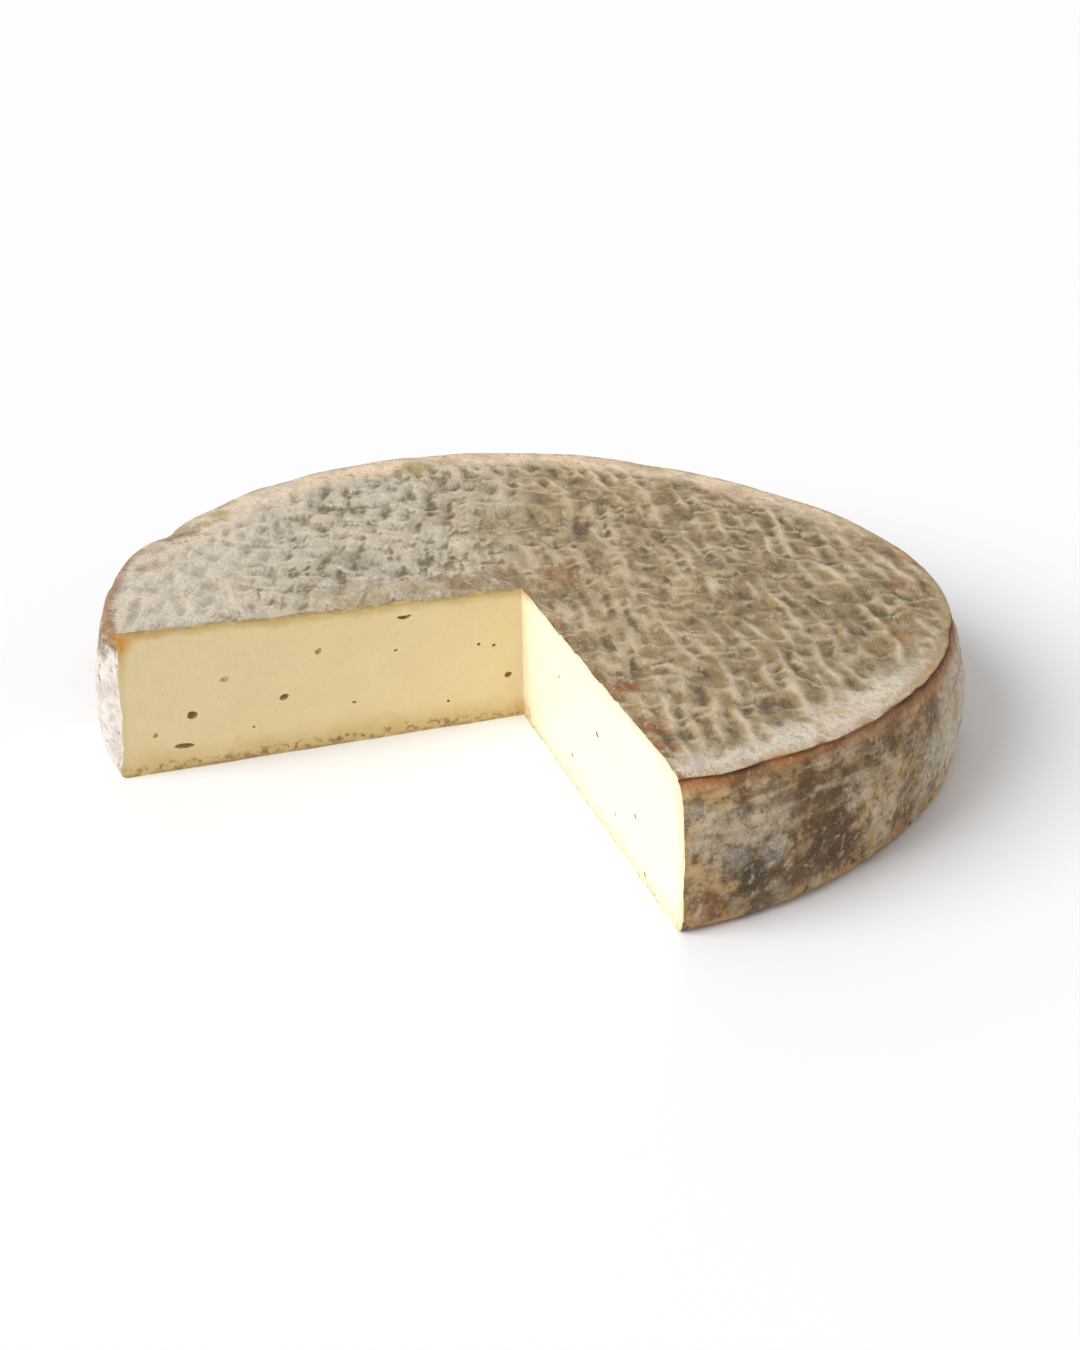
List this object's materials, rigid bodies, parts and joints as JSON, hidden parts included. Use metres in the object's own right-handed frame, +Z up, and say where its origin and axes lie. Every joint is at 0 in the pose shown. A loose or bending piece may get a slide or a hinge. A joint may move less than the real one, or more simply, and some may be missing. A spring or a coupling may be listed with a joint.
{
  "type": "saint-nectaire cheese",
  "caption": "Flat round saint-nectaire cheese with a mottled grey-brown rind, cut open to show its pale, supple paste with a few small holes.",
  "frame": {"origin": "on the surface the cheese lies on, under the middle of its bounding box", "axes": "+Z up, along the wheel's own axis; -Y towards the open side where the piece was cut out"},
  "size_m": [0.2258, 0.2154, 0.0408],
  "materials": {
    "rind": "dry, matt, mottled grey-brown mould rind with pale patches and rusty spots",
    "paste": "smooth, slightly moist cream paste with a soft sheen"
  },
  "bodies": {
    "root": {"cheese_wheel": "rind"}
  },
  "joints": []
}
